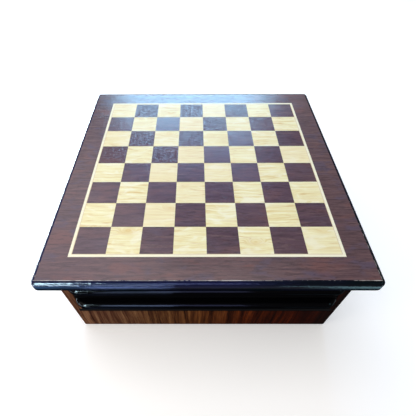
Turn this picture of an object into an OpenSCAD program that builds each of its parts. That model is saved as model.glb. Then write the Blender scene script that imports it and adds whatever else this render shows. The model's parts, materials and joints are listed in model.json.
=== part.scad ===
// Chess box: an inlaid playing board fixed on a mitred case with two shallow drawers.
// Millimetres. The origin is the middle of the base, the front faces -Y and +Z is up.
// The board overhangs the case all round. Each drawer has a glossy front with a bullnosed
// finger lip along its upper edge, and a box with finger-jointed corners behind it.

/* [Playing board] */
// Side of one playing square
square = 38.1; // [34:0.1:44]
// Width of the light inlay line around the squares
inlay_w = 3.9; // [3:0.1:7]
// Width of the veneered border outside the inlay line
border_w = 28.5; // [24:0.1:36]
// Thickness of the whole board
board_t = 18; // [15:0.5:24]
// Thickness of the veneers laid on the board's core
veneer_t = 0.8; // [0.5:0.1:1.2]
// Radius of the rounded-over upper and lower edges
edge_r = 5.2; // [3:0.2:7]
// Width of the solid edging glued around the core
edging_w = 12; // [11:0.5:16]
// Radius of the veneer's corners seen from above, inside the rounded edge
veneer_corner_r = 0.8; // [0.2:0.2:4]

/* [Case] */
// How far the board reaches past the case on each side
overhang = 16; // [12:0.5:22]
// Height of the case without its pads
case_h = 140; // [125:1:170]
// Thickness of the case walls
wall_t = 10; // [9:0.5:14]
// Thickness of the inner panels: top panel, drawer shelf, deck and bottom
panel_t = 4; // [3:0.5:5]
// Depth of the housings in the side walls that take the inner panels
housing_d = 4; // [2:0.5:6]
// Height of the rail between the board and the upper drawer
rail_h = 5.8; // [2:0.2:10]
// Height of the glossy rail between the lower drawer and the base panel
deck_rail_h = 8.4; // [6:0.2:14]
// Depth of the housings in the side walls that take the ends of that rail
deck_rail_housing = 4.5; // [1:0.5:6]
// Radius of that rail's rounded front arrises
deck_rail_r = 1.5; // [0.5:0.25:2.5]
// Leg of the triangular glue blocks in the base corners
block_leg = 28; // [22:1:36]
// Radius of the round pads under the corners
pad_r = 9; // [6:0.5:12]
// Thickness of the pads
pad_t = 2; // [1:0.5:4]
// Distance from the outer corner faces to the centre of each pad
pad_inset = 14; // [13:0.5:20]

/* [Drawer fronts] */
// Height of each drawer front
front_h = 37.4; // [33:0.1:41]
// Thickness of each drawer front
front_t = 12; // [11:0.5:16]
// How far the fronts stand out past the face of the case
front_proud = 1; // [0.5:0.25:3]
// Gap above and below each front
front_gap = 1; // [0.6:0.1:2]
// Gap between the ends of a front and the side walls
side_gap = 0.8; // [0.5:0.1:1.5]
// Gap between a closed front and the panels behind it
close_gap = 0.5; // [0.3:0.1:1]
// Radius of the rounded arrises of each front
arris_r = 2; // [1:0.25:3]
// Radius of the finger lip's bullnose, half its thickness
lip_r = 6; // [4:0.2:7]
// How far the lip stands out from its front
lip_depth = 11.6; // [9:0.2:14]
// Radius of the lip's corners seen from above
lip_corner_r = 17.5; // [15:0.5:24]
// How far the centres of those corners lie inside the ends of the front
lip_corner_inset = 16.5; // [14:0.5:24]

/* [Drawer boxes] */
// Space left behind a closed drawer
back_gap = 12; // [6:1:40]
// Least space above a drawer box
lift_gap = 0.6; // [0.4:0.1:3]
// Thickness of the drawer box walls
box_t = 8; // [7:0.5:10]
// Gap between the drawer box and each side wall
box_gap = 1; // [0.5:0.1:1.5]
// Gap under the drawer box
run_gap = 0.3; // [0.2:0.05:0.5]
// Number of fingers in each corner joint
fingers = 4; // [3:1:6]
// Thickness of the drawer bottom
bottom_t = 3; // [2.5:0.5:4]
// Height of the drawer bottom above the lower edge of the box
bottom_lift = 3; // [2:0.5:4]
// Depth of the grooves that hold the bottom and the divider
groove_d = 3; // [2:0.5:4]
// Thickness of the divider
divider_t = 5; // [4:0.5:8]
// How far the divider stays below the top of the box
divider_drop = 5; // [2:0.5:10]
// Thickness of the felt lining
felt_t = 1.5; // [1:0.25:2.5]

/* [Screws] */
// Radius of a screw shank
screw_r = 1.9; // [1.5:0.1:2.2]
// Radius of a pan head
head_r = 3.6; // [3:0.1:4.5]
// Height of a pan head
head_h = 1.6; // [1.2:0.1:1.8]
// How deep the screws enter the wood that they hold
bite = 8.5; // [6:0.5:9]
// Number of screws through each drawer box into its front
front_screws = 4; // [2:2:6]
// Distance from the ends of a drawer front to its outer screws
front_screw_inset = 45; // [30:1:70]
// Distance from the inner face of the case walls to the screws that hold the board
board_screw_inset = 54; // [30:1:80]

/* [Hidden] */
$fn = 64;

// Squares along each side of the board
squares_a_side = 8;
// Small overlap that lets a cutter run clear through a face
cut = 1;
// Fitting clearance of pieces that sit in grooves and bores
fit_gap = 0.05;
// Clearance around the felt sheets
felt_gap = 0.3;
// Sides of the board that the four borders and edgings belong to
FRONT = 0;
RIGHT = 1;
BACK = 2;
LEFT = 3;
// Drawers, counted downwards
UPPER = 0;
LOWER = 1;

// Board
field_half = squares_a_side * square / 2;
inlay_half = field_half + inlay_w;
flat_half = inlay_half + border_w;
board_half = flat_half + edge_r;
core_half = board_half - edging_w;
corner_r = veneer_corner_r + edge_r;
turn_centre = board_half - corner_r;
board_z = pad_t + case_h;
board_top = board_z + board_t;
veneer_z = board_top - veneer_t;

// Case
case_half = board_half - overhang;
inner_half = case_half - wall_t;
top_panel_z = board_z - panel_t;
board_screw_x = inner_half - board_screw_inset;

// Drawer fronts: top and bottom of front number i
function front_top(i) = board_z - rail_h - front_gap - i * (front_h + front_gap);
function front_z(i) = front_top(i) - front_h;
front_half = inner_half - side_gap;
front_face = -case_half - front_proud;
front_back = front_face + front_t;
deck_rail_z = front_z(LOWER) - front_gap - deck_rail_h;
base_top = deck_rail_z;
panel_front = front_back + close_gap;
deck_rail_half = inner_half + deck_rail_housing;

// The panel under drawer i is centred on the gap under its front
function shelf_z(i) = front_z(i) - front_gap / 2 - panel_t / 2;
function box_z(i) = shelf_z(i) + panel_t + run_gap;
upper_space = top_panel_z - head_h - shelf_z(UPPER) - panel_t;
lower_space = shelf_z(UPPER) - shelf_z(LOWER) - panel_t;
box_h = min(upper_space, lower_space) - run_gap - lift_gap;
box_half = inner_half - box_gap;
box_in = box_half - box_t;
box_back = inner_half - back_gap;
compartment_front = front_back + box_t;
compartment_back = box_back - box_t;

// Colours
WOOD_DARK = [0.30, 0.17, 0.16];
WOOD_LIGHT = [0.90, 0.78, 0.55];
WOOD_CASE = [0.36, 0.19, 0.12];
WOOD_PLAIN = [0.72, 0.56, 0.38];
LACQUER = [0.03, 0.03, 0.035];
FELT = [0.08, 0.25, 0.14];
STEEL = [0.72, 0.70, 0.62];

// A block given by its lowest and highest corners
module block(low, high) {
    translate(low) cube(high - low);
}

// ---- Board ----

module board_screw_places() {
    for (x = [-board_screw_x, board_screw_x], y = [-board_screw_x, board_screw_x])
        translate([x, y, 0]) children();
}

module board_core() {
    color(WOOD_PLAIN)
        difference() {
            block([-core_half, -core_half, board_z], [core_half, core_half, veneer_z]);
            board_screw_places()
                translate([0, 0, board_z - cut])
                    cylinder(r = screw_r + fit_gap, h = bite + cut + fit_gap);
        }
}

// Squares of one colour: shade 0 is the corner square at the front left
module squares(shade) {
    for (i = [0:squares_a_side - 1], j = [0:squares_a_side - 1])
        if ((i + j) % 2 == shade)
            translate([i * square - field_half, j * square - field_half, veneer_z])
                cube([square, square, veneer_t]);
}

module dark_squares() {
    color(WOOD_DARK) squares(0);
}

module light_squares() {
    color(WOOD_LIGHT) squares(1);
}

// A flat frame strip on one side, mitred at both ends
module mitred_strip(side, inner, outer, z, h) {
    rotate([0, 0, 90 * side])
        translate([0, 0, z])
            linear_extrude(h)
                polygon([[-outer, -outer], [outer, -outer], [inner, -inner], [-inner, -inner]]);
}

module inlay(side) {
    color(WOOD_LIGHT) mitred_strip(side, field_half, inlay_half, veneer_z, veneer_t);
}

module inlay_front() { inlay(FRONT); }
module inlay_back() { inlay(BACK); }
module inlay_left() { inlay(LEFT); }
module inlay_right() { inlay(RIGHT); }

// Border veneer of one side, its outer corners following the turned corners of the board
module border(side) {
    color(WOOD_DARK)
        intersection() {
            mitred_strip(side, inlay_half, flat_half, veneer_z, veneer_t);
            translate([0, 0, veneer_z - cut])
                linear_extrude(veneer_t + 2 * cut) {
                    square([2 * flat_half, 2 * turn_centre], center = true);
                    square([2 * turn_centre, 2 * flat_half], center = true);
                    for (x = [-turn_centre, turn_centre], y = [-turn_centre, turn_centre])
                        translate([x, y]) circle(veneer_corner_r);
                }
        }
}

module border_front() { border(FRONT); }
module border_back() { border(BACK); }
module border_left() { border(LEFT); }
module border_right() { border(RIGHT); }

// Section of the edging outside the turning centre: rounded over, with a rebate for the veneer
module edging_section() {
    inner = veneer_corner_r;
    difference() {
        union() {
            square([inner, board_t]);
            translate([0, edge_r]) square([corner_r, board_t - 2 * edge_r]);
            for (y = [edge_r, board_t - edge_r])
                translate([inner, y])
                    intersection() {
                        circle(edge_r);
                        translate([0, -edge_r]) square([edge_r, 2 * edge_r]);
                    }
        }
        translate([-cut, board_t - veneer_t]) square([inner + cut, veneer_t + cut]);
    }
}

// Solid edging of one side: a straight moulding with half of a turned corner at each end
module edging(side) {
    color(LACQUER)
        rotate([0, 0, 90 * side])
            translate([0, 0, board_z]) {
                linear_extrude(board_t - veneer_t)
                    polygon([[-core_half, -core_half], [core_half, -core_half],
                             [turn_centre, -turn_centre], [-turn_centre, -turn_centre]]);
                translate([-turn_centre, -turn_centre, 0])
                    rotate([90, 0, 90])
                        linear_extrude(2 * turn_centre)
                            mirror([1, 0]) edging_section();
                for (end = [0, 1])
                    mirror([end, 0, 0])
                        translate([turn_centre, -turn_centre, 0])
                            rotate([0, 0, -90])
                                rotate_extrude(angle = 45) edging_section();
            }
}

module edging_front() { edging(FRONT); }
module edging_back() { edging(BACK); }
module edging_left() { edging(LEFT); }
module edging_right() { edging(RIGHT); }

// ---- Case ----

// Triangle cut off a wall's end where it meets its neighbour in a mitre, at the front left
module mitre_cutter(z, h) {
    outside = -case_half - cut;
    inside = -inner_half + cut;
    translate([0, 0, z])
        linear_extrude(h)
            polygon([[outside, outside], [inside, outside], [inside, inside]]);
}

// Left side wall: mitred to the back over its whole height and to the base panel below the
// drawers, with housings for the inner panels
module case_side() {
    difference() {
        block([-case_half, -case_half, pad_t], [-inner_half, case_half, board_z]);
        mirror([0, 1, 0]) mitre_cutter(pad_t - cut, case_h + 2 * cut);
        mitre_cutter(pad_t - cut, base_top - pad_t + cut);
        for (z = [shelf_z(UPPER), shelf_z(LOWER), top_panel_z])
            block([-inner_half - housing_d, panel_front, z],
                  [-inner_half + cut, inner_half, z + panel_t]);
        block([-deck_rail_half, -case_half - cut, deck_rail_z],
              [-inner_half + cut, panel_front, deck_rail_z + deck_rail_h]);
    }
}

module case_left() {
    color(WOOD_CASE) case_side();
}

module case_right() {
    color(WOOD_CASE) mirror([1, 0, 0]) case_side();
}

module case_back() {
    color(WOOD_CASE) mitred_strip(BACK, inner_half, case_half, pad_t, case_h);
}

module base_panel() {
    color(WOOD_CASE) mitred_strip(FRONT, inner_half, case_half, pad_t, base_top - pad_t);
}

module top_rail() {
    color(WOOD_CASE)
        block([-inner_half, -case_half, board_z - rail_h], [inner_half, panel_front, board_z]);
}

// Glossy rail on the base panel, its ends housed in the side walls
module deck_rail() {
    color(LACQUER)
        translate([-deck_rail_half, 0, deck_rail_z])
            rotate([90, 0, 90])
                linear_extrude(2 * deck_rail_half) {
                    translate([-case_half + deck_rail_r, 0])
                        square([panel_front + case_half - deck_rail_r, deck_rail_h]);
                    translate([-case_half, deck_rail_r])
                        square([deck_rail_r, deck_rail_h - 2 * deck_rail_r]);
                    for (z = [deck_rail_r, deck_rail_h - deck_rail_r])
                        translate([-case_half + deck_rail_r, z]) circle(deck_rail_r);
                }
}

// Inner panel that runs in the side walls' housings
module inner_panel(z) {
    reach = inner_half + housing_d;
    block([-reach, panel_front, z], [reach, inner_half, z + panel_t]);
}

module top_panel() {
    color(WOOD_PLAIN)
        difference() {
            inner_panel(top_panel_z);
            board_screw_places()
                translate([0, 0, top_panel_z - cut])
                    cylinder(r = screw_r + fit_gap, h = panel_t + 2 * cut);
        }
}

module drawer_shelf() {
    color(WOOD_PLAIN) inner_panel(shelf_z(UPPER));
}

module deck_panel() {
    color(WOOD_PLAIN) inner_panel(shelf_z(LOWER));
}

module bottom_panel() {
    color(WOOD_PLAIN)
        block([-inner_half, -inner_half, pad_t], [inner_half, inner_half, pad_t + panel_t]);
}

// The front pair reaches up to the glossy rail, the back pair up to the deck panel
module glue_blocks() {
    z = pad_t + panel_t;
    top = [base_top, shelf_z(LOWER)];
    color(WOOD_PLAIN)
        for (x = [0, 1], y = [0, 1])
            mirror([x, 0, 0]) mirror([0, y, 0])
                translate([-inner_half, -inner_half, z])
                    linear_extrude(top[y] - z)
                        polygon([[0, 0], [block_leg, 0], [0, block_leg]]);
}

// Pan-head screw standing on its head, with a crossed recess under the head
module screw(length) {
    recess_w = head_r / 4;
    recess_l = head_r * 1.2;
    difference() {
        union() {
            translate([0, 0, -head_h]) cylinder(r = head_r, h = head_h);
            cylinder(r = screw_r, h = length);
        }
        for (turn = [0, 90])
            rotate([0, 0, turn])
                translate([-recess_l / 2, -recess_w / 2, -head_h - cut])
                    cube([recess_l, recess_w, head_h / 2 + cut]);
    }
}

module board_screws() {
    color(STEEL)
        board_screw_places()
            translate([0, 0, top_panel_z]) screw(panel_t + bite);
}

module foot_pads() {
    place = case_half - pad_inset;
    color(FELT)
        for (x = [-place, place], y = [-place, place])
            translate([x, y, 0]) cylinder(r = pad_r, h = pad_t);
}

// ---- Drawers ----

// Places of the screws along a drawer front, evenly spaced
function screw_places() =
    let(outer = front_half - front_screw_inset)
    [for (k = [0:front_screws - 1]) -outer + 2 * outer * k / (front_screws - 1)];

// Drawer front: its face has rounded arrises all round
module drawer_front(i) {
    color(LACQUER)
        difference() {
            intersection() {
                translate([0, 0, front_z(i)]) linear_extrude(front_h) front_outline(front_half);
                translate([0, 0, front_z(i) + front_h / 2])
                    rotate([0, 90, 0])
                        linear_extrude(2 * front_half + 2 * cut, center = true)
                            front_outline(front_h / 2);
            }
            for (x = screw_places())
                translate([x, front_back + cut, box_z(i) + box_h / 2])
                    rotate([90, 0, 0])
                        cylinder(r = screw_r + fit_gap, h = bite + cut + fit_gap);
        }
}

// Outline across a drawer front: square at the back, rounded arrises at the face
module front_outline(half) {
    translate([-half, front_face + arris_r]) square([2 * half, front_t - arris_r]);
    translate([-half + arris_r, front_face]) square([2 * (half - arris_r), front_t]);
    for (x = [-half + arris_r, half - arris_r])
        translate([x, front_face + arris_r]) circle(arris_r);
}

// Bullnosed lip along the upper edge of a front, its ends curving back to the ends of the front.
// The centres of those curves lie behind the face, where the lip is cut off.
module drawer_lip(i) {
    behind = lip_corner_r - lip_depth;
    centre_x = front_half - lip_corner_inset;
    color(LACQUER)
        translate([0, front_face, front_top(i) - arris_r - lip_r])
            difference() {
                translate([0, behind, 0]) {
                    translate([-centre_x, 0, 0])
                        rotate([90, 0, 90])
                            linear_extrude(2 * centre_x)
                                mirror([1, 0]) lip_section();
                    for (end = [0, 1])
                        mirror([end, 0, 0])
                            translate([centre_x, 0, 0])
                                rotate([0, 0, -90])
                                    rotate_extrude(angle = 90) lip_section();
                }
                block([-front_half - lip_corner_r, 0, -lip_r - cut],
                      [front_half + lip_corner_r, behind + cut, lip_r + cut]);
            }
}

// Section of the lip outwards from the centre of its corners: flat faces and a half-round nose
module lip_section() {
    translate([0, -lip_r]) square([lip_corner_r - lip_r, 2 * lip_r]);
    translate([lip_corner_r - lip_r, 0])
        intersection() {
            circle(lip_r);
            translate([0, -lip_r]) square([lip_r, 2 * lip_r]);
        }
}

// The fingers of one parity, as cutters at one corner of the drawer box
module finger_cutters(i, parity) {
    pitch = box_h / fingers;
    for (k = [0:fingers - 1])
        if (k % 2 == parity)
            for (y = [front_back, box_back - box_t])
                translate([-box_half, y, box_z(i) + k * pitch])
                    cube([box_t, box_t, pitch]);
}

// The drawer bottom, larger all round by gap where it cuts its own grooves
module bottom_blank(i, gap) {
    z = box_z(i) + bottom_lift;
    reach = box_in + groove_d;
    block([-reach - gap, compartment_front - groove_d - gap, z - gap],
          [reach + gap, compartment_back + groove_d + gap, z + bottom_t + gap]);
}

// The divider, larger by gap where it cuts its own housings
module divider_blank(i, gap) {
    low = box_z(i) + bottom_lift + bottom_t;
    high = box_z(i) + box_h - divider_drop;
    block([-divider_t / 2 - gap, compartment_front - groove_d - gap, low],
          [divider_t / 2 + gap, compartment_back + groove_d + gap, high + gap]);
}

module box_side(i) {
    color(WOOD_PLAIN)
        difference() {
            block([-box_half, front_back, box_z(i)], [-box_in, box_back, box_z(i) + box_h]);
            finger_cutters(i, 0);
            bottom_blank(i, fit_gap);
        }
}

// Front or back board of the drawer box, from y to y + box_t
module box_end(i, y) {
    color(WOOD_PLAIN)
        difference() {
            block([-box_half, y, box_z(i)], [box_half, y + box_t, box_z(i) + box_h]);
            finger_cutters(i, 1);
            mirror([1, 0, 0]) finger_cutters(i, 1);
            bottom_blank(i, fit_gap);
            divider_blank(i, fit_gap);
        }
}

module box_front(i) {
    difference() {
        box_end(i, front_back);
        for (x = screw_places())
            translate([x, front_back - cut, box_z(i) + box_h / 2])
                rotate([-90, 0, 0])
                    cylinder(r = screw_r + fit_gap, h = box_t + 2 * cut);
    }
}

module drawer_bottom(i) {
    color(WOOD_PLAIN) bottom_blank(i, 0);
}

module drawer_divider(i) {
    color(WOOD_PLAIN) divider_blank(i, 0);
}

module drawer_felt(i) {
    z = box_z(i) + bottom_lift + bottom_t;
    color(FELT)
        for (side = [0, 1])
            mirror([side, 0, 0])
                block([divider_t / 2 + felt_gap, compartment_front + felt_gap, z],
                      [box_in - felt_gap, compartment_back - felt_gap, z + felt_t]);
}

module drawer_screws(i) {
    color(STEEL)
        for (x = screw_places())
            translate([x, compartment_front, box_z(i) + box_h / 2])
                rotate([90, 0, 0]) screw(box_t + bite);
}

module upper_front() { drawer_front(UPPER); }
module upper_lip() { drawer_lip(UPPER); }
module upper_box_front() { box_front(UPPER); }
module upper_box_back() { box_end(UPPER, compartment_back); }
module upper_box_left() { box_side(UPPER); }
module upper_box_right() { mirror([1, 0, 0]) box_side(UPPER); }
module upper_bottom() { drawer_bottom(UPPER); }
module upper_divider() { drawer_divider(UPPER); }
module upper_felt() { drawer_felt(UPPER); }
module upper_screws() { drawer_screws(UPPER); }

module lower_front() { drawer_front(LOWER); }
module lower_lip() { drawer_lip(LOWER); }
module lower_box_front() { box_front(LOWER); }
module lower_box_back() { box_end(LOWER, compartment_back); }
module lower_box_left() { box_side(LOWER); }
module lower_box_right() { mirror([1, 0, 0]) box_side(LOWER); }
module lower_bottom() { drawer_bottom(LOWER); }
module lower_divider() { drawer_divider(LOWER); }
module lower_felt() { drawer_felt(LOWER); }
module lower_screws() { drawer_screws(LOWER); }

board_core();
dark_squares();
light_squares();
inlay_front();
inlay_back();
inlay_left();
inlay_right();
border_front();
border_back();
border_left();
border_right();
edging_front();
edging_back();
edging_left();
edging_right();
case_left();
case_right();
case_back();
base_panel();
top_rail();
deck_rail();
top_panel();
drawer_shelf();
deck_panel();
bottom_panel();
glue_blocks();
board_screws();
foot_pads();
upper_front();
upper_lip();
upper_box_front();
upper_box_back();
upper_box_left();
upper_box_right();
upper_bottom();
upper_divider();
upper_felt();
upper_screws();
lower_front();
lower_lip();
lower_box_front();
lower_box_back();
lower_box_left();
lower_box_right();
lower_bottom();
lower_divider();
lower_felt();
lower_screws();
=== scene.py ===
"""Chess box with two drawers: finishes, light and camera around the CAD frame. Metres."""
import json
import math

import bpy
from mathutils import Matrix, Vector, noise


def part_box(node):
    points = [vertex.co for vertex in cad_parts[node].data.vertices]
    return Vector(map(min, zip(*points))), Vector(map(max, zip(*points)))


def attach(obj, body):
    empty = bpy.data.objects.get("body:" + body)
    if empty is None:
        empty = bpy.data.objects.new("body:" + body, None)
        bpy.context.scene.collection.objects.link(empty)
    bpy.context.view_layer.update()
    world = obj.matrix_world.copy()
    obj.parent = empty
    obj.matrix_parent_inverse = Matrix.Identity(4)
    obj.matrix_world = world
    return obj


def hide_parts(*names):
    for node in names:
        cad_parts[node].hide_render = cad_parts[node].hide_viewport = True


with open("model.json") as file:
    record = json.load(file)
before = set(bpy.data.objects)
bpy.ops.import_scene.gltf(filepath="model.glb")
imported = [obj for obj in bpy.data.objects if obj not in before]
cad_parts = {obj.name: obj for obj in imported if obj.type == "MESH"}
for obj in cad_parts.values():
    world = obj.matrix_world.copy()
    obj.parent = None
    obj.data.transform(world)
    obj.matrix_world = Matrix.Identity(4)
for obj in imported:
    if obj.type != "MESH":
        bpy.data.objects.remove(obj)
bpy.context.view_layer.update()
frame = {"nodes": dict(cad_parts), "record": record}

NODES = frame["nodes"]

# ---- Sizes taken from the frame ----

FIELD_LOW, FIELD_HIGH = (Vector(c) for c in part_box("dark_squares"))
SQUARES_A_SIDE = 8
SQUARE = (FIELD_HIGH.x - FIELD_LOW.x) / SQUARES_A_SIDE
BOARD_TOP = FIELD_HIGH.z
FLAT_HALF = -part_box("border_front")[0].y


# ---- Node helpers ----

class Tree:
    """Builds one node tree with short calls, most of which return the output socket they make."""

    def __init__(self, owner):
        owner.use_nodes = True
        self.tree = owner.node_tree
        self.tree.nodes.clear()

    def node(self, kind, **settings):
        made = self.tree.nodes.new(kind)
        for name, value in settings.items():
            setattr(made, name, value)
        return made

    def plug(self, socket, value):
        if isinstance(value, bpy.types.NodeSocket):
            self.tree.links.new(value, socket)
        elif value is not None:
            socket.default_value = value

    def math(self, operation, a, b=None):
        made = self.node("ShaderNodeMath", operation=operation)
        self.plug(made.inputs[0], a)
        self.plug(made.inputs[1], b)
        return made.outputs[0]

    def vector(self, operation, a, b=None, scale=None):
        made = self.node("ShaderNodeVectorMath", operation=operation)
        self.plug(made.inputs[0], a)
        self.plug(made.inputs[1], b)
        if scale is not None:
            self.plug(made.inputs["Scale"], scale)
        return made.outputs["Value" if operation == "LENGTH" else "Vector"]

    def split(self, vector):
        made = self.node("ShaderNodeSeparateXYZ")
        self.plug(made.inputs[0], vector)
        return made.outputs

    def join(self, x, y, z):
        made = self.node("ShaderNodeCombineXYZ")
        for socket, value in zip(made.inputs, (x, y, z)):
            self.plug(socket, value)
        return made.outputs[0]

    def stretch(self, vector, scale):
        return self.vector("MULTIPLY", vector, scale)

    def noise(self, vector, scale, detail=3.0, rough=0.55, distortion=0.0):
        made = self.node("ShaderNodeTexNoise")
        self.plug(made.inputs["Vector"], vector)
        for name, value in (("Scale", scale), ("Detail", detail), ("Roughness", rough),
                            ("Distortion", distortion)):
            self.plug(made.inputs[name], value)
        return made.outputs["Fac"]

    def grain(self, vector, along, across, detail=3.0, rough=0.55, distortion=0.0):
        """Noise with along waves a metre on X and Z, and across waves a metre on Y."""
        return self.noise(self.stretch(vector, (along, across, along)), 1.0, detail, rough,
                          distortion)

    def random(self, vector):
        made = self.node("ShaderNodeTexWhiteNoise", noise_dimensions="3D")
        self.plug(made.inputs["Vector"], vector)
        return made.outputs["Color"], made.outputs["Value"]

    def ramp(self, value, *stops, mode="EASE"):
        """A colour ramp; each stop is (place, colour) and a plain number is a grey."""
        made = self.node("ShaderNodeValToRGB")
        ramp = made.color_ramp
        ramp.interpolation = mode
        while len(ramp.elements) < len(stops):
            ramp.elements.new(0.5)
        for element, (place, colour) in zip(ramp.elements, stops):
            element.position = place
            grey = isinstance(colour, (int, float))
            element.color = (colour, colour, colour, 1) if grey else (*colour, 1)
        self.plug(made.inputs[0], value)
        return made.outputs[0]

    def span(self, value, low, high, to_low=0.0, to_high=1.0, smooth=True):
        """Maps low..high onto to_low..to_high, and holds the end values outside."""
        made = self.node("ShaderNodeMapRange", clamp=True)
        made.interpolation_type = "SMOOTHSTEP" if smooth else "LINEAR"
        for socket, v in zip(made.inputs, (value, low, high, to_low, to_high)):
            self.plug(socket, v)
        return made.outputs[0]

    def mix(self, factor, a, b, blend="MIX"):
        made = self.node("ShaderNodeMix", data_type="RGBA", blend_type=blend)
        self.plug(made.inputs[0], factor)
        for socket, value in ((made.inputs[6], a), (made.inputs[7], b)):
            self.plug(socket, (*value, 1) if isinstance(value, tuple) else value)
        return made.outputs[2]

    def bump(self, height, strength, distance):
        made = self.node("ShaderNodeBump")
        self.plug(made.inputs["Strength"], strength)
        self.plug(made.inputs["Distance"], distance)
        self.plug(made.inputs["Height"], height)
        return made.outputs[0]

    def place(self):
        """The point on the object, in metres."""
        return self.node("ShaderNodeTexCoord").outputs["Object"]

    def shader(self, **inputs):
        """Ends the tree in one Principled shader. Names use _ for spaces."""
        made = self.node("ShaderNodeBsdfPrincipled")
        for name, value in inputs.items():
            self.plug(made.inputs[name.replace("_", " ")], value)
        self.end(made.outputs[0])

    def end(self, socket, output="ShaderNodeOutputMaterial"):
        self.tree.links.new(socket, self.node(output).inputs["Surface"])


def new_material(name):
    material = bpy.data.materials.new(name)
    return material, Tree(material)


def off_middle(t, x, y):
    """The larger of the distances from the board's middle along X and Y, the same all round a
    square about it."""
    return t.math("MAXIMUM", t.math("ABSOLUTE", x), t.math("ABSOLUTE", y))


# ---- Woods ----

# Pale veneer: the four tones of its figure, its clouds, the tints of whole squares, its lines and
# knots, then the inlay and its joint
HONEY = (0.68, 0.52, 0.24)
STRAW = (0.77, 0.69, 0.38)
CREAM = (0.81, 0.76, 0.46)
IVORY = (0.85, 0.82, 0.61)
MILK = (0.84, 0.82, 0.66)
OCHRE = (0.72, 0.58, 0.27)
PEACH = (0.80, 0.69, 0.47)
SAND = (0.72, 0.60, 0.31)
STREAK_TAN = (0.62, 0.45, 0.19)
PORE_TAN = (0.55, 0.42, 0.18)
RING_BROWN = (0.56, 0.36, 0.15)
KNOT_BROWN = (0.60, 0.37, 0.11)
INLAY_PALE = (0.83, 0.79, 0.62)
JOINT_BROWN = (0.50, 0.36, 0.18)
# Dark veneer: dim, middle and bright wood of the squares and of the borders, then the patches,
# strokes and pores in both
SQUARE_TONES = (0.048, 0.020, 0.032), (0.076, 0.036, 0.052), (0.112, 0.058, 0.064)
BORDER_TONES = (0.054, 0.025, 0.031), (0.088, 0.043, 0.049), (0.126, 0.062, 0.062)
SLATE = (0.072, 0.048, 0.080)
RUST = (0.130, 0.050, 0.046)
STROKE_BLACK = (0.022, 0.010, 0.014)
PORE_BLACK = (0.018, 0.009, 0.013)
# Upright veneer of the case: the four tones of its figure, its patches and its pores
CASE_DEEP = (0.030, 0.008, 0.004)
CASE_BROWN = (0.130, 0.052, 0.026)
CASE_TAN = (0.300, 0.145, 0.075)
CASE_PALE = (0.520, 0.290, 0.150)
CASE_PATCH = (0.045, 0.009, 0.005)
CASE_PORE = (0.018, 0.006, 0.004)
# Pale and dark tone of the board's core, of the wood inside the case and of the drawer boxes
CORE_TONES = (0.45, 0.32, 0.19), (0.38, 0.26, 0.15)
INNER_TONES = (0.55, 0.39, 0.23), (0.42, 0.28, 0.15)
BOX_TONES = (0.66, 0.48, 0.29), (0.50, 0.33, 0.18)

# Up to this far apart in the noise the squares take their figures, so that no two are alike
LEAF_SHIFT = 5.0
# Half sizes along X and Y of the swelling round a knot
KNOT_X, KNOT_Y = 0.016, 0.008
# Side of the area in the middle of a square that knots lie in, as a share of the square
KNOT_AREA = 0.7
# How far the grain bends by itself, and how much further round a knot
GRAIN_BEND, KNOT_BEND = 0.010, 0.011
# How many times the noise of the growth rings is folded over its range
RINGS = 9.0
# How far outside the squares their brown joint with the inlay is full, and where it ends
JOINT_FULL, JOINT_END = 0.0004, 0.0010
# The sparkle of the dark squares is weakest in front of the first Y and full behind the second
CALM_Y, SPARKLING_Y = -0.10, 0.00
# Painted shade: the case veneer is painted darker and redder from the first X to the second, where
# less light reaches it
PAINTED_SHADE_LEFT, PAINTED_SHADE_RIGHT = -0.15, 0.17
# Share of Y in the distance across the case's grain, which gives the side walls streaks too
CORNER_SLANT = 0.83


def square_cell(t, place):
    """Of the playing square that a point is in: a random colour, a random value, and the place
    in it from its middle."""
    across = t.vector("DIVIDE", t.vector("SUBTRACT", place, tuple(FIELD_LOW)),
                      (SQUARE, SQUARE, 1.0))
    x, y, _ = t.split(t.vector("FLOOR", across))
    colour, value = t.random(t.join(x, y, 0.0))
    inside = t.vector("SUBTRACT", t.vector("FRACTION", across), (0.5, 0.5, 0.5))
    return colour, value, t.vector("SCALE", inside, scale=SQUARE)


def knot_swell(t, inside, colour):
    """1 at a random point of the square, falling off round it, and a random strength."""
    shift_x, shift_y, strength = t.split(colour)
    x, y, _ = t.split(inside)
    area = KNOT_AREA * SQUARE
    x = t.math("SUBTRACT", x, t.math("MULTIPLY", t.math("SUBTRACT", shift_x, 0.5), area))
    y = t.math("SUBTRACT", y, t.math("MULTIPLY", t.math("SUBTRACT", shift_y, 0.5), area))
    away = t.vector("LENGTH", t.join(t.math("DIVIDE", x, KNOT_X), t.math("DIVIDE", y, KNOT_Y),
                                     0.0))
    return t.span(away, 1.0, 0.0), strength


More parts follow.
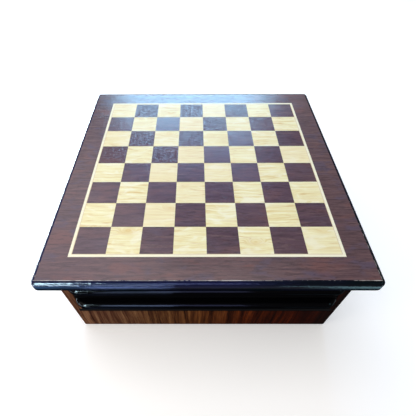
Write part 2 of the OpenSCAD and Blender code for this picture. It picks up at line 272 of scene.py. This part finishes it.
def light_veneer(name, by_square):
    """Pale lacquered veneer: wavy cream and tan figure along X with thin growth rings. In squares
    each has a figure of its own and some have a knot. The inlay is paler, with a brown joint."""
    material, t = new_material(name)
    place = t.place()
    point = place
    if by_square:
        colour, tone, inside = square_cell(t, place)
        point = t.vector("ADD", place, t.vector("SCALE", colour, scale=LEAF_SHIFT))
        swell, strength = knot_swell(t, inside, colour)
        swell = t.math("MULTIPLY", swell, t.span(strength, 0.60, 0.95))
    bend = t.math("MULTIPLY", t.grain(point, 20.0, 42.0, 2.0), GRAIN_BEND)
    if by_square:
        bend = t.math("ADD", bend, t.math("MULTIPLY", swell, KNOT_BEND))
    bent = t.vector("ADD", point, t.join(0.0, bend, 0.0))
    broad = t.grain(bent, 11.0, 330.0, 4.0, 0.65)
    fine = t.grain(bent, 45.0, 1400.0, 3.0, 0.6)
    cloud = t.grain(point, 34.0, 70.0, 2.0, 0.5, 1.2)
    streaks = t.grain(bent, 9.0, 560.0, 2.0, 0.6)
    rings = t.grain(bent, 7.0, 90.0, 1.0, 0.4)
    figure = t.ramp(broad, (0.30, HONEY), (0.42, STRAW), (0.54, CREAM), (0.68, IVORY))
    figure = t.mix(t.span(cloud, 0.55, 0.75, 0.0, 0.40), figure, OCHRE)
    figure = t.mix(t.span(streaks, 0.54, 0.70, 0.0, 0.42), figure, STREAK_TAN)
    figure = t.mix(t.span(fine, 0.35, 0.60, 0.26, 0.0), figure, PORE_TAN)
    ring = t.span(t.math("PINGPONG", t.math("MULTIPLY", rings, RINGS), 0.5), 0.34, 0.50)
    ring = t.math("MULTIPLY", ring, t.span(cloud, 0.40, 0.62, 0.12, 0.60))
    if by_square:
        ring = t.math("MULTIPLY", ring, t.span(swell, 0.0, 0.5, 1.0, 0.1))
    figure = t.mix(ring, figure, RING_BROWN)
    figure = t.mix(t.span(cloud, 0.32, 0.46, 0.5, 0.0), figure, MILK)
    if by_square:
        figure = t.mix(t.span(t.split(colour)[0], 0.5, 1.0, 0.0, 0.35), figure, PEACH)
        figure = t.mix(t.math("MULTIPLY", swell, 0.34), figure, KNOT_BROWN)
        figure = t.mix(t.math("MULTIPLY", tone, 0.16), figure, SAND)
    else:
        x, y, _ = t.split(place)
        joint = t.span(off_middle(t, x, y), FIELD_HIGH.x + JOINT_FULL,
                       FIELD_HIGH.x + JOINT_END, 0.65, 0.0)
        figure = t.mix(0.7, figure, INLAY_PALE)
        figure = t.mix(joint, figure, JOINT_BROWN)
    normal = t.bump(t.math("ADD", fine, t.math("MULTIPLY", broad, 0.5)), 0.16, 0.0004)
    t.shader(Base_Color=figure, Roughness=0.42, Normal=normal, Specular_IOR_Level=0.0,
             Coat_Weight=0.38, Coat_Roughness=0.24, Coat_Normal=normal)
    return material


def dark_veneer(name, tones, by_square):
    """Purple-brown lacquered veneer with open pores along X. Its sheen breaks up into a sparkle
    of short dashes. In squares each has a figure and a sparkle of its own; the borders have a
    finer figure, stronger patches and hardly any sparkle."""
    material, t = new_material(name)
    dim, middle, bright = tones
    place = t.place()
    point = place
    tone = t.grain(place, 7.0, 26.0, 1.0)
    sparkle = 0.08
    if by_square:
        colour, tone, _ = square_cell(t, place)
        point = t.vector("ADD", place, t.vector("SCALE", colour, scale=LEAF_SHIFT))
        sparkle = t.math("MULTIPLY", t.span(t.split(colour)[1], 0.30, 0.70, 0.30, 1.0),
                         t.span(t.split(place)[1], CALM_Y, SPARKLING_Y, 0.35, 1.0))
    across, blotch = (170.0, 0.42) if by_square else (330.0, 0.85)
    broad = t.grain(point, 20.0, across, 4.0, 0.62, 0.5)
    strokes = t.grain(point, 60.0, 420.0, 3.0, 0.6, 0.3)
    pores = t.grain(point, 170.0, 2200.0, 2.0, 0.6)
    patch = t.grain(point, 34.0, 70.0, 2.0, 0.6)
    warm = t.noise(t.stretch(point, (22.0, 48.0, 40.0)), 1.0, 2.0, 0.6)
    dashes = t.grain(place, 200.0, 450.0, 2.0, 0.5)
    figure = t.ramp(broad, (0.32, dim), (0.50, middle), (0.66, bright))
    figure = t.mix(t.span(patch, 0.50, 0.68, 0.0, blotch), figure, SLATE)
    figure = t.mix(t.span(warm, 0.52, 0.68, 0.0, blotch), figure, RUST)
    figure = t.mix(t.span(strokes, 0.50, 0.66, 0.0, 0.55), figure, STROKE_BLACK)
    figure = t.mix(t.span(pores, 0.56, 0.70, 0.0, 0.5), figure, PORE_BLACK)
    figure = t.mix(t.math("MULTIPLY", tone, 0.22), figure, bright)
    glints = t.math("MULTIPLY", t.span(dashes, 0.42, 0.60, -0.68, 0.05), sparkle)
    grain = t.math("ADD", t.math("MULTIPLY", pores, -0.30), t.math("MULTIPLY", glints, 0.25))
    normal = t.bump(grain, 0.7, 0.0005)
    t.shader(Base_Color=figure, Roughness=0.45, Normal=normal, Specular_IOR_Level=0.0,
             Coat_Weight=t.math("ADD", 0.95, glints), Coat_Roughness=0.17, Coat_Normal=normal)
    return material


def case_veneer():
    """Brown veneer with strong upright streaks, and painted shade that makes it darker and redder
    to the right.
    """
    material, t = new_material("case_veneer")
    x, y, z = t.split(t.place())

    def upright(across, waves_across, waves_up, layer=0.0, detail=3.0, rough=0.55):
        """Noise with its own waves a metre across the grain and along it."""
        return t.noise(t.join(t.math("MULTIPLY", across, waves_across), layer,
                              t.math("MULTIPLY", z, waves_up)), 1.0, detail, rough)

    across = t.math("ADD", x, t.math("MULTIPLY", y, CORNER_SLANT))
    sway = upright(across, 16.0, 9.0, detail=2.0)
    across = t.math("ADD", across, t.math("MULTIPLY", sway, GRAIN_BEND))
    broad = upright(across, 120.0, 4.0, detail=4.0, rough=0.72)
    patch = upright(across, 13.0, 3.0, layer=5.0, detail=1.0)
    fine = upright(across, 1000.0, 30.0, rough=0.6)
    figure = t.ramp(broad, (0.36, CASE_DEEP), (0.44, CASE_BROWN), (0.54, CASE_TAN),
                    (0.66, CASE_PALE))
    figure = t.mix(t.span(patch, 0.40, 0.66, 0.0, 0.55), figure, CASE_PATCH)
    figure = t.mix(t.span(fine, 0.45, 0.70, 0.0, 0.6), figure, CASE_PORE)
    # Painted shade: the veneer's colour is multiplied darker and redder towards the right, as if
    # the light fell off there
    shade = t.ramp(t.span(x, PAINTED_SHADE_LEFT, PAINTED_SHADE_RIGHT, smooth=False), (0.05, 1.0),
                   (0.25, (0.68, 0.60, 0.44)), (0.45, (0.54, 0.36, 0.19)),
                   (0.64, (0.34, 0.12, 0.04)), (0.90, (0.20, 0.04, 0.01)),
                   (1.00, (0.05, 0.015, 0.01)), mode="LINEAR")
    figure = t.mix(1.0, figure, shade, "MULTIPLY")
    normal = t.bump(fine, 0.15, 0.0004)
    t.shader(Base_Color=figure, Roughness=0.5, Normal=normal, Specular_IOR_Level=0.0,
             Coat_Weight=0.03, Coat_Roughness=0.3, Coat_Normal=normal)
    return material


def plain_wood(name, tones):
    """Unfinished inner wood with fine grain along Y."""
    material, t = new_material(name)
    pale, dark = tones
    point = t.place()
    broad = t.grain(point, 60.0, 8.0, 3.0, 0.6, 0.3)
    fine = t.grain(point, 700.0, 60.0, 2.0)
    figure = t.ramp(broad, (0.35, pale), (0.65, dark))
    figure = t.mix(t.span(fine, 0.5, 0.7, 0.0, 0.35), figure, tuple(0.6 * c for c in dark))
    t.shader(Base_Color=figure, Roughness=0.62, Normal=t.bump(fine, 0.2, 0.0004),
             Specular_IOR_Level=0.3)
    return material


# ---- Lacquers, felt and steel ----

# Two near-blacks that the edging varies between, and the navy of a painted reflection on its upper
# left
INK = (0.003, 0.004, 0.012)
PITCH = (0.001, 0.004, 0.007)
REFLECTION_NAVY = (0.006, 0.008, 0.040)
# Drawer fronts
FRONT_BLACK = (0.002, 0.002, 0.003)
# Bare wood under worn lacquer, thinly worn and worn through
WORN_THIN = (0.22, 0.20, 0.185)
WORN_BARE = (0.52, 0.49, 0.455)
# Half the width of the worn line along the edge of the veneer
WORN_HALF = 0.0005
# Sum of two noises above which that line is worn where wear is 0
WORN_FROM = 1.12
# Coat of worn-dull lacquer and of the drawer fronts
DULL_GLOSS, FRONT_GLOSS = 0.005, 0.05
# Depths below the playing surface: the edging is dull below the first and glossy above the second
DULL_DEPTH, GLOSS_DEPTH = 0.0118, 0.0072
# The painted navy reflection goes from none to full between these depths, and between these X
NO_REFLECTION_DEPTH, FULL_REFLECTION_DEPTH = 0.0095, 0.0065
NO_REFLECTION_X, FULL_REFLECTION_X = 0.11, 0.02
# Heights over a lip's axis between which it turns from dull to glossy
NOSE_DULL, NOSE_GLOSSY = 0.0024, 0.0048
# Felt of the drawers and of the pads, and the screws
GREEN = (0.020, 0.095, 0.045)
CHARCOAL = (0.030, 0.030, 0.032)
STEEL = (0.60, 0.55, 0.44)


def edge_lacquer(name, wear=0.0, gloss=0.10):
    """Near-black gloss with a painted navy reflection towards its upper left, dull towards its
    lower arris, and rubbed through to pale wood in a thin broken line at the veneer's edge. More
    wear wears more of that line. gloss is the coat of its upper part."""
    material, t = new_material(name)
    place = t.place()
    x, y, z = t.split(place)
    off_line = t.math("ABSOLUTE", t.math("SUBTRACT", off_middle(t, x, y),
                                         FLAT_HALF + WORN_HALF))
    line = t.span(off_line, WORN_HALF, 0.4 * WORN_HALF)
    broken = t.noise(t.stretch(place, (130.0, 130.0, 130.0)), 1.0, 4.0, 0.7)
    where = t.noise(place, 9.0, 1.0)
    rubbed = t.math("SUBTRACT", t.math("ADD", broken, where), WORN_FROM - wear)
    worn = t.math("MULTIPLY", line, t.span(rubbed, 0.0, 0.12))
    wave = t.noise(t.stretch(place, (140.0, 140.0, 240.0)), 1.0, 3.0, 0.65)
    tint = t.noise(place, 14.0, 1.0)
    colour = t.mix(t.span(tint, 0.4, 0.6), INK, PITCH)
    # Painted reflection: navy in a band on the upper face of the edging, fading out towards the
    # right
    painted_reflection = t.math("MULTIPLY",
                  t.span(z, BOARD_TOP - NO_REFLECTION_DEPTH, BOARD_TOP - FULL_REFLECTION_DEPTH),
                  t.span(x, NO_REFLECTION_X, FULL_REFLECTION_X))
    colour = t.mix(painted_reflection, colour, REFLECTION_NAVY)
    colour = t.mix(worn, colour, t.mix(t.span(rubbed, 0.16, 0.36), WORN_THIN, WORN_BARE))
    coat = t.span(z, BOARD_TOP - DULL_DEPTH, BOARD_TOP - GLOSS_DEPTH, DULL_GLOSS, gloss)
    normal = t.bump(wave, 0.4, 0.0014)
    t.shader(Base_Color=colour, Roughness=0.5, Normal=normal, Specular_IOR_Level=0.0,
             Coat_Weight=coat, Coat_Roughness=0.11, Coat_Normal=normal)
    return material


def front_lacquer(name, nose=None):
    """Black lacquer of the drawer fronts. nose is the height of a lip's axis, below which fingers
    have rubbed it dull."""
    material, t = new_material(name)
    place = t.place()
    wave = t.noise(t.stretch(place, (40.0, 160.0, 160.0)), 1.0, 2.0, 0.5)
    normal = t.bump(wave, 0.25, 0.0006)
    coat = FRONT_GLOSS
    if nose is not None:
        coat = t.span(t.split(place)[2], nose + NOSE_DULL, nose + NOSE_GLOSSY, DULL_GLOSS,
                      FRONT_GLOSS)
    t.shader(Base_Color=(*FRONT_BLACK, 1), Roughness=0.5, Normal=normal,
             Specular_IOR_Level=0.0, Coat_Weight=coat, Coat_Roughness=0.10, Coat_Normal=normal)
    return material


def felt(name, colour):
    """Wool felt: short fuzz over soft clouds of colour."""
    material, t = new_material(name)
    place = t.place()
    fuzz = t.noise(place, 2600.0, 4.0, 0.7)
    cloud = t.noise(place, 90.0, 3.0)
    shade = t.math("ADD", t.math("MULTIPLY", fuzz, 0.6), t.math("MULTIPLY", cloud, 0.4))
    figure = t.ramp(shade, (0.30, tuple(0.55 * c for c in colour)),
                    (0.70, tuple(1.35 * c for c in colour)))
    t.shader(Base_Color=figure, Roughness=0.95, Specular_IOR_Level=0.1, Sheen_Weight=0.4,
             Normal=t.bump(fuzz, 0.6, 0.0008))
    return material


def screw_steel():
    """Yellowish plated steel, a little uneven in its gloss."""
    material, t = new_material("screw_steel")
    brushed = t.noise(t.stretch(t.place(), (900.0, 900.0, 900.0)), 1.0, 3.0)
    t.shader(Base_Color=(*STEEL, 1), Metallic=1.0,
             Roughness=t.span(brushed, 0.3, 0.7, 0.25, 0.45))
    return material


# One finish for each material slot of the record, and those of pieces that differ from their slot
FINISHES = {
    "dark_veneer": dark_veneer("dark_veneer", SQUARE_TONES, by_square=True),
    "light_veneer": light_veneer("light_veneer", by_square=True),
    "border_veneer": dark_veneer("border_veneer", BORDER_TONES, by_square=False),
    "edge_lacquer": edge_lacquer("edge_lacquer"),
    "core_board": plain_wood("core_board", CORE_TONES),
    "case_veneer": case_veneer(),
    "inner_wood": plain_wood("inner_wood", INNER_TONES),
    "box_wood": plain_wood("box_wood", BOX_TONES),
    "front_lacquer": front_lacquer("front_lacquer"),
    "felt_lining": felt("felt_lining", GREEN),
    "felt_pad": felt("felt_pad", CHARCOAL),
    "screw_steel": screw_steel(),
}
OWN_FINISH = {
    "edging_front": edge_lacquer("edge_lacquer_worn", wear=0.22),
    "edging_left": edge_lacquer("edge_lacquer_left", gloss=0.36),
}
for lip in ("upper_lip", "lower_lip"):
    lip_low, lip_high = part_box(lip)
    OWN_FINISH[lip] = front_lacquer(lip + "_lacquer", (lip_low[2] + lip_high[2]) / 2)
inlay_finish = light_veneer("inlay_veneer", by_square=False)
for row in frame["record"]["subparts"]:
    node = row["node"]
    finish = inlay_finish if node.startswith("inlay") else OWN_FINISH.get(node)
    mesh = NODES[node].data
    mesh.materials.clear()
    mesh.materials.append(finish or FINISHES[row["material_slot"]])


# ---- Felt linings and pads, in place of the plain CAD solids ----

# Width of a felt sheet's soft rim, and the distance between its points inside it
FELT_RIM = 0.0011
FELT_STEP = 0.006
# Places of the points across a rim, as shares of its width
RIM_SHARES = (0.0, 0.04, 0.16, 0.38, 0.68, 1.0)
# Least thickness of a felt sheet away from its rim, as a share of its greatest
FELT_LEAST = 0.80
# The face of a sheet stays this far over its underside at the very edge
FELT_EDGE = 1e-5
# Scale of the noise that makes a sheet's face uneven, along X and Y and from sheet to sheet
UNEVEN_WAVES = (28.0, 22.0, 90.0)
# Profile of a pad, from its underside up: shares of its radius and of its thickness
PAD_PROFILE = ((0.955, 0.0), (0.985, 0.07), (1.0, 0.3), (1.0, 0.7), (0.985, 0.93), (0.955, 1.0))
PAD_SIDES = 64
# Least reach of a pad's rim, and the most that is added to it, as shares of its radius
PAD_LEAST, PAD_UNEVEN = 0.975, 0.02
# Scale of the noise that makes the rim uneven, round one pad and from pad to pad
PAD_WAVES, PAD_SHIFT = 4.0, 50.0


def solid_boxes(node, axes):
    """The corners of each solid of a CAD node whose solids lie either side of the middle."""
    groups = {}
    for vertex in NODES[node].data.vertices:
        groups.setdefault(tuple(vertex.co[a] > 0 for a in axes), []).append(vertex.co)
    return [tuple(Vector(pick(c[a] for c in group) for a in range(3)) for pick in (min, max))
            for _, group in sorted(groups.items())]


def soft_piece(name, vertices, faces, body, node, slot):
    """A smooth mesh that rides on a body and stands for a CAD node."""
    mesh = bpy.data.meshes.new(name)
    mesh.from_pydata(vertices, [], faces)
    mesh.shade_smooth()
    mesh.materials.append(FINISHES[slot])
    piece = bpy.data.objects.new(name, mesh)
    bpy.context.scene.collection.objects.link(piece)
    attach(piece, body)
    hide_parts(node)
    return piece


def eased_steps(low, high, rim, step):
    """Places from low to high: close together within rim of each end, then about step apart."""
    count = max(2, round((high - low - 2 * rim) / step))
    inner = [low + rim + (high - low - 2 * rim) * i / count for i in range(1, count)]
    return ([low + rim * s for s in RIM_SHARES] + inner
            + [high - rim * s for s in reversed(RIM_SHARES)])


def felt_lining(name, low, high, body, node):
    """A laid sheet of felt: soft round edges and a slightly uneven face."""
    xs, ys = (eased_steps(low[a], high[a], FELT_RIM, FELT_STEP) for a in (0, 1))
    waves_x, waves_y, waves_z = UNEVEN_WAVES
    thick = high.z - low.z
    top, bottom = [], []
    for y in ys:
        for x in xs:
            inward = min(x - low.x, high.x - x, y - low.y, high.y - y)
            swell = math.sqrt(max(0.0, 1.0 - (1.0 - min(inward / FELT_RIM, 1.0)) ** 2))
            uneven = 0.5 + 0.5 * noise.noise(Vector((x * waves_x, y * waves_y, low.z * waves_z)))
            rise = swell * (FELT_LEAST + (1.0 - FELT_LEAST) * uneven)
            top.append((x, y, low.z + thick * rise + FELT_EDGE))
            bottom.append((x, y, low.z))
    wide, long = len(xs), len(ys)
    under = wide * long
    faces = []
    for j in range(long - 1):
        for i in range(wide - 1):
            a = j * wide + i
            faces.append((a, a + 1, a + wide + 1, a + wide))
            faces.append((under + a, under + a + wide, under + a + wide + 1, under + a + 1))
    rim = ([i for i in range(wide)] + [j * wide + wide - 1 for j in range(1, long)]
           + [(long - 1) * wide + i for i in range(wide - 2, -1, -1)]
           + [j * wide for j in range(long - 2, 0, -1)])
    for a, b in zip(rim, rim[1:] + rim[:1]):
        faces.append((b, a, under + a, under + b))
    piece = soft_piece(name, top + bottom, faces, body, node, "felt_lining")


def foot_pad(name, low, high):
    """A round of dense felt, a little barrelled by the weight on it."""
    middle = (low + high) / 2
    radius = (high.x - low.x) / 2
    thick = high.z - low.z
    vertices = [(middle.x, middle.y, low.z)]
    for share, up in PAD_PROFILE:
        for k in range(PAD_SIDES):
            angle = math.tau * k / PAD_SIDES
            out = Vector((math.cos(angle), math.sin(angle), 0.0))
            uneven = 0.5 + 0.5 * noise.noise(out * PAD_WAVES + middle * PAD_SHIFT)
            reach = radius * share * (PAD_LEAST + PAD_UNEVEN * uneven)
            vertices.append((middle.x + out.x * reach, middle.y + out.y * reach,
                             low.z + thick * up))
    vertices.append((middle.x, middle.y, high.z))
    last = len(vertices) - 1
    faces = []
    for k in range(PAD_SIDES):
        after = (k + 1) % PAD_SIDES
        faces.append((0, 1 + after, 1 + k))
        for row in range(len(PAD_PROFILE) - 1):
            a = 1 + row * PAD_SIDES
            faces.append((a + k, a + after, a + PAD_SIDES + after, a + PAD_SIDES + k))
        a = 1 + (len(PAD_PROFILE) - 1) * PAD_SIDES
        faces.append((a + k, a + after, last))
    soft_piece(name, vertices, faces, "case", "foot_pads", "felt_pad")


for drawer in ("upper", "lower"):
    for side, (low, high) in zip(("left", "right"), solid_boxes(drawer + "_felt", (0,))):
        felt_lining("%s_felt_%s" % (drawer, side), low, high, drawer + "_drawer",
                    drawer + "_felt")
for number, (low, high) in enumerate(solid_boxes("foot_pads", (0, 1)), 1):
    foot_pad("felt_pad_%d" % number, low, high)


# ---- Floor, light and camera ----

FLOOR_HALF = 6.0
FLOOR_GREY = 0.75
# Light added to the floor where it is seen, so that it is near white and keeps the shadow
FLOOR_LIFT = 0.38
# Strength of the world for matt surfaces
SOFT_LIGHT = 0.50
# Strength of the backdrop overhead. It is 1 up to BACKDROP_FULL and CEILING from BACKDROP_END,
# both sines of the elevation
CEILING = 0.70
BACKDROP_FULL, BACKDROP_END = 0.15, 0.60
# The photograph's view, solved from the corners of the 64 squares. Angles in degrees
CAMERA_PLACE = (-0.01305, -0.34228, 0.46504)
CAMERA_TURN = (40.048, 0.212, 0.091)
SENSOR_WIDTH = 36.0
CAMERA_LENS = 27.294
CAMERA_SHIFT = (0.0338, 0.0019)
# name, azimuth, elevation, distance, size, radiance, and whether it lights the whole scene. The
# rest, named card_, only put highlights on the edging and the lips
LAMPS = (
    ("window_back", -1, 26, 2.4, (1.25, 0.30), (9.5, 18.0, 25.5), True),
    ("sky_back", 1, 38, 2.2, (1.30, 0.60), (1.0, 1.3, 2.8), True),
    ("window_left", -50, 50, 1.5, (1.1, 0.9), (1.7, 1.7, 1.9), True),
    ("top_box", 0, 86, 1.8, (1.2, 1.2), (2.75, 2.65, 2.6), True),
    ("lamp_left", -128, 22, 0.62, (0.20, 0.30), (6.0, 5.4, 4.7), True),
    ("card_left", -147.6, 20, 1.3, (0.20, 0.70), (225.0, 325.0, 365.0), False),
    ("card_right", 128, 22, 1.4, (0.22, 0.12), (24.0, 54.0, 62.0), False),
    ("card_front_left", -168, 17, 1.4, (0.34, 0.85), (10.0, 15.0, 26.0), False),
    ("card_front", 180, 24, 1.4, (0.50, 0.70), (7.0, 8.0, 17.0), False),
    ("card_near_left", -160, -6, 0.29, (0.11, 0.04), (20.0, 26.0, 42.0), False),
    ("card_left_low", -147, -8, 0.45, (0.07, 0.07), (110.0, 150.0, 180.0), False),
    ("card_lip_left", -121, -19, 0.44, (0.14, 0.03), (90.0, 105.0, 120.0), False),
    ("card_lip_turn", -132, -11, 0.50, (0.12, 0.07), (60.0, 72.0, 84.0), False),
    ("card_lip_right", 121, -19, 0.44, (0.14, 0.03), (34.0, 40.0, 46.0), False),
    ("card_edge_left", -70, -15, 0.42, (0.70, 0.09), (40.0, 47.0, 52.0), False),
    ("card_low_left", -145, -21, 0.37, (0.20, 0.06), (0.5, 3.5, 8.0), False),
    ("card_low_front", -156, -25, 0.30, (0.13, 0.06), (6.0, 9.0, 20.0), False),
    ("card_low_right", 142, -21, 0.37, (0.20, 0.06), (4.5, 9.0, 10.5), False),
)


def seen_directly(t):
    """1 for rays that show the background: from the camera, in gloss and through glass."""
    path = t.node("ShaderNodeLightPath")
    seen = t.math("MAXIMUM", path.outputs["Is Camera Ray"], path.outputs["Is Glossy Ray"])
    return t.math("MAXIMUM", seen, path.outputs["Is Transmission Ray"])


def make_floor():
    """A pale floor that takes the object's shadow and is near white elsewhere."""
    mesh = bpy.data.meshes.new("floor")
    h = FLOOR_HALF
    mesh.from_pydata([(-h, -h, 0), (h, -h, 0), (h, h, 0), (-h, h, 0)], [], [(0, 1, 2, 3)])
    floor = bpy.data.objects.new("floor", mesh)
    bpy.context.scene.collection.objects.link(floor)
    material, t = new_material("floor")
    diffuse = t.node("ShaderNodeBsdfDiffuse")
    diffuse.inputs["Color"].default_value = (FLOOR_GREY, FLOOR_GREY, FLOOR_GREY, 1)
    lift = t.node("ShaderNodeEmission")
    t.plug(lift.inputs["Strength"], t.math("MULTIPLY", seen_directly(t), FLOOR_LIFT))
    both = t.node("ShaderNodeAddShader")
    t.plug(both.inputs[0], diffuse.outputs[0])
    t.plug(both.inputs[1], lift.outputs[0])
    t.end(both.outputs[0])
    mesh.materials.append(material)


def make_world():
    """White backdrop round the horizon, dimmer above; diffuse rays take a plain soft light."""
    world = bpy.data.worlds.new("studio")
    bpy.context.scene.world = world
    t = Tree(world)
    _, _, up = t.split(t.node("ShaderNodeTexCoord").outputs["Generated"])
    backdrop = t.span(up, BACKDROP_FULL, BACKDROP_END, 1.0, CEILING)
    level = t.math("MULTIPLY", seen_directly(t), t.math("SUBTRACT", backdrop, SOFT_LIGHT))
    background = t.node("ShaderNodeBackground")
    t.plug(background.inputs["Strength"], t.math("ADD", level, SOFT_LIGHT))
    t.end(background.outputs[0], "ShaderNodeOutputWorld")


def highlighted_pieces():
    """The collection of glossy black pieces, which the lamps for highlights are linked to."""
    pieces = bpy.data.collections.new("glossy_black")
    for node, piece in NODES.items():
        if node.startswith("edging") or node.endswith("lip"):
            pieces.objects.link(piece)
    return pieces


def make_lamp(receivers, name, azimuth, elevation, distance, size, radiance, lights_all):
    """A soft box aimed at the board. Azimuth 0 is behind it and 90 to its right, in degrees. One
    that doesn't light all only makes highlights, and those on the receivers alone."""
    across, up = math.radians(azimuth), math.radians(elevation)
    away = Vector((math.sin(across) * math.cos(up), math.cos(across) * math.cos(up), math.sin(up)))
    lamp = bpy.data.lights.new(name, "AREA")
    lamp.shape = "RECTANGLE"
    lamp.size, lamp.size_y = size
    brightest = max(radiance)
    lamp.color = tuple(c / brightest for c in radiance)
    lamp.energy = brightest * math.pi * size[0] * size[1]
    holder = bpy.data.objects.new(name, lamp)
    holder.location = Vector((0.0, 0.0, BOARD_TOP)) + away * distance
    holder.rotation_mode = "QUATERNION"
    holder.rotation_quaternion = away.to_track_quat("Z", "Y")
    holder.visible_camera = False
    holder.visible_diffuse = lights_all
    if not lights_all:
        holder.light_linking.receiver_collection = receivers
    bpy.context.scene.collection.objects.link(holder)


def make_camera():
    """The camera of the photograph's view."""
    data = bpy.data.cameras.new("camera")
    data.sensor_width = SENSOR_WIDTH
    data.lens = CAMERA_LENS
    data.shift_x, data.shift_y = CAMERA_SHIFT
    camera = bpy.data.objects.new("camera", data)
    camera.location = CAMERA_PLACE
    camera.rotation_euler = [math.radians(a) for a in CAMERA_TURN]
    bpy.context.scene.collection.objects.link(camera)
    bpy.context.scene.camera = camera


make_floor()
make_world()
glossy_black = highlighted_pieces()
for lamp in LAMPS:
    make_lamp(glossy_black, *lamp)
make_camera()
bpy.context.scene.view_settings.view_transform = "Standard"
